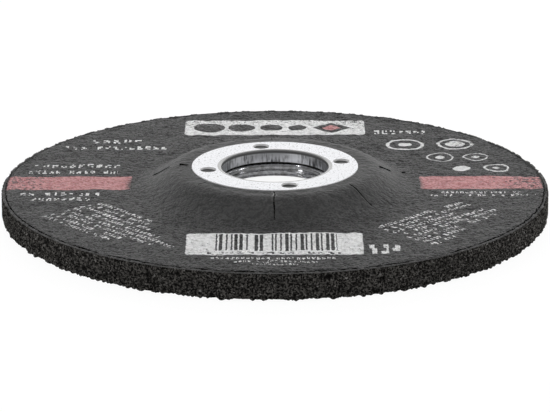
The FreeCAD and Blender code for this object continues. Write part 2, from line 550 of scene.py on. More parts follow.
def along_rows(size, seed):
    """Smooth noise along the radius, one value for each row and slit."""
    rows = np.repeat(row_radius, len(slit_angles), axis=1)
    points = np.stack([rows, np.arange(len(slit_angles)) * 50.0 + 0 * rows, 0 * rows], -1)
    return smooth_noise(points, size, seed)


centre_line = slit_angles + slit_sway * along_rows(2.2, SEED + 40) / row_radius
for slit, (radii, degrees) in slit_bends.items():
    centre_line[:, slit] += np.radians(np.interp(row_radius[:, 0], radii, degrees))
openness = ramp(along_rows(1.6, SEED + 41), -0.8, -0.1)
half_gap = slit_gaps / 2 * (0.08 + openness * (1 + 0.4 * along_rows(0.8, SEED + 42))) / row_radius
before_slit, after_slit = centre_line - half_gap, centre_line + half_gap
next_before = np.concatenate([before_slit[:, 1:], before_slit[:, :1] + 2 * math.pi], axis=1)
shares = np.arange(1, sector_columns + 1) / (sector_columns + 1)
between = after_slit[..., None] + (next_before - after_slit)[..., None] * shares
label_angles = np.concatenate([before_slit[..., None], after_slit[..., None], between], axis=2)
label_angles = label_angles.reshape(len(label_profile), -1)
columns = label_angles.shape[1]
print(f"label grid: {len(label_profile)} rows, {columns} columns")

# %% [markdown]
# ## Creases, lips and torn edges
#
# Creases, wrinkles and small pocks are added as height only, so that the label stays on the wheel. They are
# weak on the flank, where folds run down instead. The paper stands up a little beside an open slit, and at
# its ragged outer edge it hangs down to the rim. A Solidify modifier gives it its thickness downwards. Two
# fields are stored for the material: the frayed fibres at the front slit, and painted shade along the sides
# of the tears.

# %% Creases of the paper, lips of the slits and the wavy outer edge
around = np.stack([np.cos(label_angles), np.sin(label_angles), 0 * label_angles], -1)
edge_share = ramp(row_radius, label_radius - 1.0, label_radius)
edge_wave = 0.09 * (layered_noise(around * label_radius, 2.2, SEED + 50) - 1)
edge_wave = edge_wave - 0.3 * ramp(layered_noise(around * label_radius, 1.8, SEED + 51), 0.25, 0.45)
flat_points = around * (row_radius + edge_share * edge_wave)[..., None]
flat_points[..., 2] = row_height
level_points = flat_points * [1, 1, 0]
broad = layered_noise(level_points, 11.0, SEED + 60)
wrinkles = layered_noise(level_points, 2.8, SEED + 63)
creases = (1 - np.abs(layered_noise(level_points, 6.5, SEED + 61))) ** 6
crumple = (1 - np.abs(smooth_noise(level_points, 1.9, SEED + 64))) ** 3
flank_share = window(row_radius, 19.0, 22.0, 27.0, 33.0)
fold_points = 9 * around + (row_radius / 7)[..., None] * [0, 0, 1]
folds = layered_noise(fold_points, 1.7, SEED + 62)
free_share = ramp(row_radius, flange_radius + 0.3, flange_radius + 1.5) * (1 - 0.6 * edge_share)
crease_height = 0.1 * broad + 0.2 * wrinkles + 0.1 * (creases - 0.4) + 0.1 * (crumple - 0.5)
crease_height = free_share * (crease_height * (1 - 0.8 * flank_share) + 0.06 * flank_share * folds)
ragged = edge_share * 0.26 * layered_noise(level_points, 1.6, SEED + 65)
nearest_slit = np.abs(label_angles[..., None] - centre_line[:, None])
nearest_slit = np.minimum(nearest_slit, 2 * math.pi - nearest_slit) * row_radius[..., None]
beside_slit = np.maximum(0, nearest_slit - (half_gap * row_radius)[:, None])
lips = 0.0
# Painted shade beside the two torn slits, which the label material paints black
tear = np.zeros(label_angles.shape)
for slit, start, end in open_stretches:
    within = window(row_radius, start - 1.0, start + 0.5, end - 0.5, end + 1.0)
    lips = lips + bell(nearest_slit[..., slit], 0.6) * within
    if slit in slit_bends:
        within = (row_radius > start - 0.3) & (row_radius < end + 0.3)
        tear = np.maximum(tear, bell(beside_slit[..., slit], 0.4) * within)
label_points = flat_points.copy()
label_points[..., 2] += crease_height + 0.06 * lips - 0.14 * edge_share + ragged
label_points[..., 2] = np.minimum(label_points[..., 2], ring_top - 0.01)
print(f"creases from {crease_height.min():.3f} to {crease_height.max():.3f} mm")

# %% Faces of the label, with the slits left out
label_quads = quads_between(len(label_profile), columns)
face_row, face_column = np.divmod(np.arange(len(label_quads)), columns)
face_slit, place_in_sector = np.divmod(face_column, sector_columns + 2)
row_middle = (row_radius[face_row, 0] + row_radius[face_row + 1, 0]) / 2
in_slit = np.zeros(len(label_quads), bool)
for slit, start, end in open_stretches:
    in_slit |= (place_in_sector == 0) & (face_slit == slit) & (row_middle > start) & (row_middle < end)
label = new_piece("printed_label", label_points.reshape(-1, 3), [label_quads[~in_slit]], sharp_angle=60)
store(label, "fray", bell(nearest_slit[..., 0], 0.35) * window(row_radius, 17.4, 18.2, 20.0, 21.5))
store(label, "tear", tear)
thicken(label, "paper thickness", label_thickness)
print("quads left out for the slits:", int(in_slit.sum()))

# %% [markdown]
# ## The ring on the label side
#
# This ring is one sheet of steel: a flange, a bend at the mouth of the bore, and a collar. So it is modelled
# as a sheet too, with Solidify for its thickness and a fine Bevel for the punched edges. The four keying
# holes are the hard part of a turned grid. Around each hole a patch of the grid is taken out, and rings of
# quads lead from the patch's outline to the round hole, each point moving straight to the hole's centre.

# %% Sheet of the flange and collar, with round holes set into the grid
ring_columns = 288
hole_count = 4
hole_radius = 1.7
hole_circle_radius = 14.3
hole_start_angle = math.radians(12)
patch_half_columns = 8
patch_half_width = 2.15
patch_rows = 12
patch_shares = (0.3, 0.6, 0.85, 1.0)
collar_step = 0.4
punched_round = 0.07

flange_rows = np.concatenate([
    [flange_radius, flange_radius - 0.25],
    np.linspace(hole_circle_radius + patch_half_width, hole_circle_radius - patch_half_width, patch_rows + 1),
])
collar_profile = divided(
    outline([
        (hole_circle_radius - patch_half_width, ring_top, 0),
        (bore_radius, ring_top, ring_bend + ring_sheet),
        (bore_radius, collar_end, 0),
    ], arc_step=12),
    collar_step,
)[1:]
ring_profile = np.concatenate([np.stack([flange_rows, 0 * flange_rows + ring_top], -1), collar_profile])
ring_grid = turned(ring_profile, ring_columns)
turn = np.array([
    [math.cos(hole_start_angle), math.sin(hole_start_angle), 0],
    [-math.sin(hole_start_angle), math.cos(hole_start_angle), 0],
    [0, 0, 1],
])
ring_points = [(ring_grid @ turn).reshape(-1, 3)]
ring_quads = quads_between(len(ring_profile), ring_columns)


def grid_number(row, column):
    """Number of the grid point in a row and column, counted round the ring."""
    return row * ring_columns + column % ring_columns


first_row = 2
last_row = first_row + patch_rows
quad_row, quad_column = np.divmod(np.arange(len(ring_quads)), ring_columns)
keep = np.ones(len(ring_quads), bool)
patch_faces = []
for hole in range(hole_count):
    middle = hole * ring_columns // hole_count
    low, high = middle - patch_half_columns, middle + patch_half_columns
    steps_from_low = (quad_column - low) % ring_columns
    keep &= ~((quad_row >= first_row) & (quad_row < last_row) & (steps_from_low < 2 * patch_half_columns))
    border = np.concatenate([
        grid_number(first_row, np.arange(low, high)),
        grid_number(np.arange(first_row, last_row), high),
        grid_number(last_row, np.arange(high, low, -1)),
        grid_number(np.arange(last_row, first_row, -1), low),
    ])
    angle = hole_start_angle + 2 * math.pi * hole / hole_count
    centre = np.array([math.cos(angle), math.sin(angle)]) * hole_circle_radius
    outer = ring_points[0][border]
    away = outer[:, :2] - centre
    edge = centre + away / np.linalg.norm(away, axis=1)[:, None] * hole_radius
    numbers = [border]
    for share in patch_shares:
        flat = outer[:, :2] + (edge - outer[:, :2]) * share
        numbers.append(sum(len(p) for p in ring_points) + np.arange(len(border)))
        ring_points.append(np.column_stack([flat, np.full(len(border), ring_top)]))
    for outside, inside in zip(numbers[:-1], numbers[1:]):
        patch_faces.append(quads_joining(outside, inside))
ring_faces = np.concatenate([ring_quads[keep], *patch_faces])
used, renumbered = np.unique(ring_faces, return_inverse=True)
used_points = np.concatenate(ring_points)[used]
ring = new_piece("flange_ring", used_points, [renumbered.reshape(-1, 4)], sharp_angle=50)
thicken(ring, "sheet thickness", ring_sheet)
punched = ring.modifiers.new("punched edges", "BEVEL")
punched.width = punched_round * MM
punched.segments = 2
punched.limit_method = "ANGLE"
punched.angle_limit = math.radians(50)

# %% [markdown]
# ## The ring on the grinding face
#
# Seen through the bore, this ring is a short thick collar with a rounded crest. Pressing leaves it slightly
# uneven, and that is what breaks its highlight into patches, so its radius gets a shallow wave and soft
# ripples. Two dents in its far side catch the light of the right glint lamp. Each dent is given by its angle
# in degrees, its height, its depth, and how far it reaches sideways and upwards.

# %% A closed turned section with a shallow wave and two dents
face_ring_columns = 256
face_ring_step = 0.16
ripple_pitch = 1.1
DENTS = [
    (64.5, 6.9, 0.22, 1.3, 0.42),
    (60.5, 6.25, 0.34, 2.2, 0.65),
]

face_ring_profile = outline([
    (bore_radius, recess_depth, face_ring_entry_round),
    (bore_radius, crest_level, face_ring_crest_round),
    (bore_radius + face_ring_wall, crest_level, 0),
    (bore_radius + face_ring_wall, face_seat_level, 0),
    (face_flange_radius, face_seat_level, 0),
    (face_flange_radius, recess_depth, 0),
], arc_step=12)
face_ring_profile = np.concatenate([face_ring_profile, face_ring_profile[:1]])
face_ring_profile = divided(face_ring_profile, face_ring_step)[:-1]
face_ring_grid = turned(face_ring_profile, face_ring_columns).reshape(-1, 3)
face_ring_quads = quads_between(len(face_ring_profile) + 1, face_ring_columns) % len(face_ring_grid)
face_ring_height = face_ring_grid[:, 2]
below_crest = ramp(crest_level - face_ring_height, 0.3, 0.8)
ripple = 1 - np.cos(2 * math.pi * (crest_level - 0.5 - face_ring_height) / ripple_pitch)
unevenness = 1 + layered_noise(face_ring_grid, 3.0, SEED + 70)
wave = 0.03 * unevenness + 0.035 * below_crest * ripple * unevenness
inside = np.hypot(face_ring_grid[:, 0], face_ring_grid[:, 1]) < bore_radius + face_ring_wall - 0.05
face_ring_angle = np.degrees(np.arctan2(face_ring_grid[:, 1], face_ring_grid[:, 0]))
for dent_angle, dent_height, deep, wide, tall in DENTS:
    across = (face_ring_angle - dent_angle) * math.radians(1) * bore_radius
    wave = wave + deep * np.exp(-((across / wide) ** 2) - ((face_ring_height - dent_height) / tall) ** 2)
face_ring_grid[:, :2] *= (1 + (wave * inside) / bore_radius)[:, None]
face_ring = new_piece("collar_ring", face_ring_grid, [face_ring_quads], sharp_angle=50, inside_out=True)

# %% [markdown]
# ## Node helpers
#
# A material is a small program of nodes. Short helpers keep the recipes readable: two add a node and set or
# link its inputs, and the others are single nodes for arithmetic, smooth steps, noise, mixing and bumps. They
# find the node tree through the sockets that they are given, so a recipe reads like arithmetic.

# %% Add nodes and do arithmetic with them
def fill(made, inputs):
    """Gives each named input of a node its value, or links it where the value is a socket."""
    for name, value in inputs.items():
        if isinstance(value, bpy.types.NodeSocket):
            made.id_data.links.new(value, made.inputs[name])
        else:
            made.inputs[name].default_value = value


def add(tree, kind, inputs=None, **options):
    """One new node of a tree, with its own settings as options."""
    made = tree.nodes.new("ShaderNode" + kind)
    for name, value in options.items():
        setattr(made, name, value)
    fill(made, inputs or {})
    return made


def new_node(kind, inputs, **options):
    """One new node in the tree of the first socket among its inputs."""
    sockets = (value for value in inputs.values() if isinstance(value, bpy.types.NodeSocket))
    return add(next(sockets).id_data, kind, inputs, **options)


def maths(operation, *values):
    """Result of one Math node."""
    return new_node("Math", dict(enumerate(values)), operation=operation).outputs[0]


def vector(operation, *values):
    """Result of one Vector Math node: a number for LENGTH and DOT_PRODUCT, and a vector otherwise."""
    made = new_node("VectorMath", dict(enumerate(values)), operation=operation)
    return made.outputs["Value" if operation in ("LENGTH", "DOT_PRODUCT") else "Vector"]


def times(first, second):
    """Product of two numbers."""
    return maths("MULTIPLY", first, second)


def times_add(first, second, third):
    """Product of two numbers, plus the third."""
    return maths("MULTIPLY_ADD", first, second, third)


def flattened(place):
    """The place with its height taken out."""
    return vector("MULTIPLY", place, (1, 1, 0))


def ease(value, low, high, to_low=0.0, to_high=1.0):
    """Smooth change from to_low at low to to_high at high. The curve stays between the two by itself."""
    inputs = {0: value, 1: low, 2: high, 3: to_low, 4: to_high}
    return new_node("MapRange", inputs, interpolation_type="SMOOTHSTEP", clamp=False).outputs[0]


def noise(place, scale, detail=2.0, roughness=0.5):
    """Value of a Noise Texture, around 0.5."""
    inputs = {"Vector": place, "Scale": scale, "Detail": detail, "Roughness": roughness}
    return new_node("TexNoise", inputs).outputs[0]


def blended(share, first, second):
    """Colour mixed from the first to the second by the share."""
    return new_node("Mix", {0: share, 6: first, 7: second}, data_type="RGBA").outputs[2]


def mixed_value(share, first, second):
    """Number mixed from the first to the second by the share."""
    return new_node("Mix", {0: share, 2: first, 3: second}, data_type="FLOAT").outputs[0]


def bumped(height, distance, strength=1.0):
    """Normal of a surface whose height changes over a distance in millimetres."""
    inputs = {"Height": height, "Distance": distance * MM, "Strength": strength}
    return new_node("Bump", inputs).outputs["Normal"]


def finish(shader, colour, roughness, normal, others):
    """Fills the inputs of a shader that every material has, and others by their names."""
    fill(shader, {"Base Color": colour, "Roughness": roughness, "Normal": normal, **others})


def stored(tree, name):
    """The number that each point of the piece keeps under a name."""
    return add(tree, "Attribute", attribute_name=name, attribute_type="GEOMETRY").outputs["Fac"]


def grey(level):
    """Opaque neutral colour."""
    return (level, level, level, 1.0)


def new_material(name):
    """Empty material with its shader, and the object's own coordinates in millimetres."""
    material = bpy.data.materials.new(name)
    material.use_nodes = True
    tree = material.node_tree
    shader = tree.nodes["Principled BSDF"]
    place = add(tree, "TexCoord").outputs["Object"]
    scaled = new_node("VectorMath", {0: place, "Scale": 1 / MM}, operation="SCALE")
    return material, tree, shader, scaled.outputs["Vector"]


# %% [markdown]
# ## Grit and resin
#
# Up close the wheel is near-black resin over brown-black grain. Each grain has its own tone, the pits between
# them are darkest with painted shade, and a few crystal faces are paler, a painted glint on faces that are
# glossier too. A Voronoi texture gives one random tone per cell, which does for grains of a third of a
# millimetre, below what the mesh holds. The strip that was pressed smooth around the label is paler, flatter
# and glossier.

# %% Colours and material of the abrasive
DARK_GRAIN = (0.04, 0.038, 0.0355, 1)
PALE_GRAIN = (0.105, 0.1, 0.093, 1)
GRIT_DUST = (0.12, 0.114, 0.107, 1)
CRYSTAL_GLINT = (0.26, 0.255, 0.25, 1)
PRESSED_STRIP = (0.1, 0.099, 0.098, 1)
PIT_SHADE_BLACK = grey(0.003)


def grit_material():
    """Grain tones from Voronoi cells, painted shade in the pits, dust, and a few crystal faces with a painted
    glint.
    """
    material, tree, shader, place = new_material("grit")
    cells = new_node("TexVoronoi", {"Vector": place, "Scale": 3.0})
    tone = new_node("SeparateColor", {"Color": cells.outputs["Color"]}).outputs[0]
    tint = blended(tone, DARK_GRAIN, PALE_GRAIN)
    dust = ease(noise(place, 0.5, 5.0, 0.65), 0.5, 0.7, 0.0, 0.3)
    tint = blended(dust, tint, GRIT_DUST)
    # Painted glint: a few cells get a paler colour, as if their crystal faces caught the light
    crystal_glint = times(ease(tone, 0.955, 0.985), 0.6)
    tint = blended(crystal_glint, tint, CRYSTAL_GLINT)
    top_strip = stored(tree, "top")
    tint = blended(top_strip, tint, PRESSED_STRIP)
    # Painted shade: near black in small pits and in the crevices and pits stored as depth
    small_pit_shade = ease(noise(place, 2.6, 2.0, 0.6), 0.52, 0.47)
    deep = stored(tree, "depth")
    small_pit_shade = times(small_pit_shade, times_add(top_strip, -0.7, 1.0))
    pit = maths("MAXIMUM", small_pit_shade, deep)
    colour = blended(times(pit, 0.96), tint, PIT_SHADE_BLACK)
    roughness = times_add(top_strip, -0.4, ease(tone, 0.9, 0.99, 0.8, 0.4))
    fine = noise(place, 5.0, 3.0, 0.7)
    bump_height = maths("ADD", times(cells.outputs["Distance"], -0.8), fine)
    normal = bumped(bump_height, 0.22)
    gloss = times(maths("SUBTRACT", 1.0, pit), times_add(top_strip, 0.25, 0.1))
    finish(shader, colour, roughness, normal, {"Specular IOR Level": gloss})
    return material


# %% [markdown]
# ## Print on the label
#
# Print is only ink on paper, so it lives in the label's material, as shapes worked out from the place on the
# label in millimetres. Two node groups do it. One draws a field: a rectangle with rounded corners, which with
# a large corner becomes a round dot. The other only hands on a place: inside its rectangle it replaces the
# place by a count of characters and rows. One pattern of small blocks, the size of parts of letters, is then
# drawn in those counts, and stands for every line of small print without spelling anything.

# %% Node group for a field of ink
def new_group(name, inputs, outputs):
    """Empty group and the sockets of both its ends. Inputs and outputs are kinds of socket by title."""
    tree = bpy.data.node_groups.new(name, "ShaderNodeTree")
    for side, sockets in (("INPUT", inputs), ("OUTPUT", outputs)):
        for title, kind in sockets.items():
            tree.interface.new_socket(name=title, in_out=side, socket_type="NodeSocket" + kind)
    return tree, tree.nodes.new("NodeGroupInput").outputs, tree.nodes.new("NodeGroupOutput").inputs


def local_place(given):
    """Place measured from the field's centre, along its own turned axes."""
    moved = vector("SUBTRACT", given["Place"], given["Centre"])
    inputs = {"Vector": moved, "Angle": times(given["Angle"], -1.0)}
    return flattened(new_node("VectorRotate", inputs, rotation_type="Z_AXIS").outputs[0])


def distance_past(local, half):
    """Distance of a place from a rectangle, which is 0 inside it."""
    reach = vector("SUBTRACT", vector("ABSOLUTE", local), half)
    return vector("LENGTH", vector("MAXIMUM", reach, (0, 0, 0)))


LAYOUT_INPUTS = {"Place": "Vector", "Centre": "Vector", "Half size": "Vector", "Angle": "Float"}
edge_softness = 0.09
field_inputs = {**LAYOUT_INPUTS, "Corner": "Float"}
field_group, given, result = new_group("ink field", field_inputs, {"Mask": "Float"})
inset = new_node("CombineXYZ", {0: given["Corner"], 1: given["Corner"]}).outputs[0]
shrunken = vector("SUBTRACT", given["Half size"], inset)
past = distance_past(local_place(given), shrunken)
past = maths("SUBTRACT", past, given["Corner"])
field_group.links.new(ease(past, edge_softness, -edge_softness), result["Mask"])

# %% Node group for the place in a line of small print
line_inputs = {**LAYOUT_INPUTS, "Cell": "Vector", "Before": "Vector"}
line_group, given, result = new_group("line of small print", line_inputs, {"Text place": "Vector"})
local = local_place(given)
counted = vector("DIVIDE", vector("ADD", local, given["Half size"]), given["Cell"])
inside = maths("LESS_THAN", distance_past(local, given["Half size"]), 1e-4)
handed_on = new_node("Mix", {0: inside, 4: given["Before"], 5: counted}, data_type="VECTOR")
line_group.links.new(handed_on.outputs[1], result["Text place"])


# %% One pattern for all small print
blocks_per_step = 4.6
lit_blocks = 2.5


def chance(*parts):
    """Random number from 0 to 1 for up to three whole numbers."""
    whole = new_node("CombineXYZ", dict(enumerate(parts))).outputs[0]
    return new_node("TexWhiteNoise", {"Vector": whole}, noise_dimensions="3D").outputs["Value"]


def letter_blocks(text_place):
    """Mask of small blocks, three by three to a character, lit by chance, with gaps between the words.

    The third part of the text place is the line's own number, and it is below zero where there is no line."""
    across, up, line = new_node("SeparateXYZ", {0: text_place}).outputs
    row = maths("FLOOR", up)
    character = maths("FLOOR", across)
    block_column = maths("FLOOR", times(maths("FRACT", across), blocks_per_step))
    block_row = maths("FLOOR", times(maths("FRACT", up), blocks_per_step))
    code = times_add(block_column, 7.0, times(block_row, 31.0))
    own_row = times_add(row, 13.0, line)
    mask = maths("GREATER_THAN", chance(character, own_row, code), 0.48)
    mask = times(mask, maths("GREATER_THAN", chance(character, own_row, 77.0), 0.12))
    mask = times(mask, maths("LESS_THAN", block_column, lit_blocks))
    mask = times(mask, maths("LESS_THAN", block_row, lit_blocks))
    return times(mask, maths("GREATER_THAN", line, 0.5))


# %% [markdown]
# ## The layout of the print
#
# It follows the real label's: a pale panel behind the hub with dark shapes, a pale panel in front of it with
# upright bars, a red band on each side, and small print around them. All of it is generic. The shapes on the
# back panel are plain dots and a lozenge, and the bars come from random numbers. A panel or band is a centre,
# a half size, an angle and a corner radius. A ring is x, y, radius and stroke, and a disc x, y and radius. A
# level line is its two x and two y values, the pitch of its characters and the pitch of its rows.

# %% Layout of the print, in millimetres on the label
def place_on_label(x_low, x_high, y_low, y_high):
    """Centre and half size of an upright field between two x and two y values."""
    centre = ((x_low + x_high) / 2, (y_low + y_high) / 2, 0)
    return centre, ((x_high - x_low) / 2, (y_high - y_low) / 2, 0)


def slanted_lines(angle, distance, start, lengths, pitch):
    """Lines of small print that run at an angle, from the outermost line inwards.

    A line's centre is its distance from the axis times the outward direction, plus its start and half its
    length times the direction in which it runs."""
    turn = math.radians(angle)
    along = np.array([math.cos(turn), math.sin(turn)])
    outward = np.array([math.sin(turn), -math.cos(turn)])
    lines = []
    for row, length in enumerate(lengths):
        middle = outward * (distance - row * pitch) + along * (start + length / 2)
        lines.append(((*middle, 0), (length / 2, 0.31 * pitch, 0), turn, 1.05, 0.93 * pitch))
    return lines


PALE_PANELS = [
    (*place_on_label(-20.0, 20.0, 37.5, 49.0), 0.0, 1.0),
    (*place_on_label(-17.8, 17.6, -46.0, -32.3), 0.0, 0.9),
]
RED_FIELDS = [
    (*place_on_label(-56.4, -30.3, -2.7, 6.6), 0.0, 0.25),
    (*place_on_label(30.6, 56.3, -2.6, 6.4), 0.0, 0.6),
    ((12.6, 43.2, 0), (1.5, 1.5, 0), math.radians(45), 0.2),
]
DARK_DOTS = [(-14.6, 43.2, 3.5), (-7.4, 43.2, 3.0), (-0.8, 43.2, 2.5), (5.0, 43.2, 2.0)]
LOZENGE = ((12.6, 43.2, 0), (3.0, 3.0, 0), math.radians(45), 0.3)
BAR_FIELD = (*place_on_label(-12.4, 12.4, -43.4, -32.9), 0.0, 0.1)
BAR_MODULE = 0.34
LEVEL_LINES = [
    (*place_on_label(*edges), 0.0, *pitches)
    for *edges, pitches in [
        (-40.0, -28.5, 31.3, 34.4, (2.3, 3.9)),
        (-45.8, -23.0, 26.6, 29.4, (1.75, 3.5)),
        (-51.6, -33.2, 12.8, 15.7, (1.9, 3.6)),
        (-52.5, -33.5, 8.9, 11.0, (1.45, 2.7)),
        (-53.2, -36.2, -6.9, -4.5, (1.7, 3.0)),
        (-50.8, -38.4, -10.3, -8.1, (1.6, 2.8)),
        (34.8, 51.5, -5.7, -4.2, (1.0, 1.9)),
        (32.3, 54.5, -7.7, -6.1, (1.0, 2.0)),
        (22.0, 33.3, 38.2, 41.2, (1.75, 3.8)),
        (-13.5, 13.0, -45.5, -44.0, (2.0, 1.9)),
        (-12.7, 12.2, -48.8, -47.3, (1.0, 1.9)),
        (-9.0, 8.4, -50.7, -49.3, (0.9, 1.7)),
        (-4.5, 4.5, -52.3, -51.1, (0.8, 1.5)),
        (18.8, 25.3, -45.6, -38.8, (2.3, 8.6)),
    ]
]
SLANTED_LINES = [
    *slanted_lines(-47.0, 48.9, -17.0, [21.0, 22.0, 29.0, 33.0, 26.5, 22.0, 19.0, 18.0], 2.0),
    *slanted_lines(44.0, 50.0, -5.0, [7.0, 12.0, 23.4, 26.0, 25.0, 18.0, 24.7, 24.6], 2.1),
]
RINGS = [
    (28.5, 30.0, 3.8, 0.75),
    (39.5, 30.4, 3.7, 0.75),
    (35.7, 20.6, 2.8, 0.4),
    (43.4, 20.8, 2.6, 0.4),
    (47.4, 12.4, 2.5, 0.55),
]
DISCS = [
    (28.5, 30.0, 1.5),
    (39.5, 30.4, 2.2),
    (35.7, 20.6, 1.0),
    (43.4, 20.8, 0.9),
    (40.0, 12.2, 1.9),
    (47.4, 12.4, 0.8),
]
print("lines of small print:", len(LEVEL_LINES) + len(SLANTED_LINES))


# %% Masks of pale, dark and red ink
def field(place, centre, half, angle, corner):
    """Mask of one field of ink."""
    inputs = {"Place": place, "Centre": centre, "Half size": half, "Angle": angle, "Corner": corner}
    return new_node("Group", inputs, node_tree=field_group).outputs["Mask"]


def disc(place, x, y, radius):
    """Mask of a round dot, which is a field that is all corner."""
    return field(place, (x, y, 0), (radius, radius, 0), 0.0, radius)


def small_print(place, lines):
    """Mask of all lines. Each hands its text place on to the next, and its number rides in the third part."""
    text_place = (0, 0, -1)
    for number, (centre, half, angle, pitch, row_pitch) in enumerate(lines, start=1):
        inputs = {
            "Place": place,
            "Centre": centre,
            "Half size": (*half[:2], number),
            "Angle": angle,
            "Cell": (pitch, row_pitch, 1),
            "Before": text_place,
        }
        text_place = new_node("Group", inputs, node_tree=line_group).outputs["Text place"]
    return letter_blocks(text_place)


def joined(masks):
    """The highest of many masks at each place. The masks come one by one, and each joins at once."""
    masks = iter(masks)
    highest = next(masks)
    for mask in masks:
        highest = maths("MAXIMUM", highest, mask)
    return highest


def pale_masks(place):
    """Masks of the pale panels and the round marks, one by one."""
    for panel in PALE_PANELS:
        yield field(place, *panel)
    for x, y, radius, stroke in RINGS:
        whole = disc(place, x, y, radius + stroke / 2)
        yield maths("SUBTRACT", whole, disc(place, x, y, radius - stroke / 2))
    for spot in DISCS:
        yield disc(place, *spot)


def dark_masks(place):
    """Masks of the dark dots, the lozenge and the bars, one by one. Every third module has no bar."""
    for dot in DARK_DOTS:
        yield disc(place, *dot)
    yield field(place, *LOZENGE)
    x = new_node("SeparateXYZ", {0: place}).outputs[0]
    module = maths("FLOOR", maths("DIVIDE", x, BAR_MODULE))
    bars = maths("GREATER_THAN", chance(module, 3.0, 1.0), 0.32)
    third = maths("FRACT", maths("DIVIDE", maths("ADD", module, 300.5), 3.0))
    bars = times(bars, maths("LESS_THAN", third, 0.66))
    yield times(bars, field(place, *BAR_FIELD))


def red_masks(place):
    """Masks of the red bands and the red lozenge, one by one."""
    for red_field in RED_FIELDS:
        yield field(place, *red_field)


# %% [markdown]
# ## Paper and ink
#
# The paper itself is dark grey with a satin face. Pressing it against the grain leaves a fine mottle, a few
# pits where a grain broke through, and ink that is thin on the high spots. The same mottle drives the bump,
# which is calmer on the hub and its flank, as is the gloss. Small print over the pale panel in front shows in
# reverse. In front, a thin, broken black line of painted shadow marks where the label's edge cracked away
# from the rim.

# %% Colours of paper and ink
DARK_PAPER = grey(0.046)
PALE_PAPER = grey(0.060)
CLOUDED_PAPER = grey(0.030)
PAPER_PIT = grey(0.006)
LIT_PAPER_IN_HOLES = grey(0.12)
FRAYED_FIBRE = grey(0.8)
CRACK_SHADOW_BLACK = grey(0.004)
SLIT_SHADE_BLACK = grey(0.003)
PALE_INK = (grey(0.74), grey(0.98))
RED_INK = ((0.49, 0.2, 0.204, 1), (0.7, 0.33, 0.335, 1))
DARK_INK = grey(0.01)


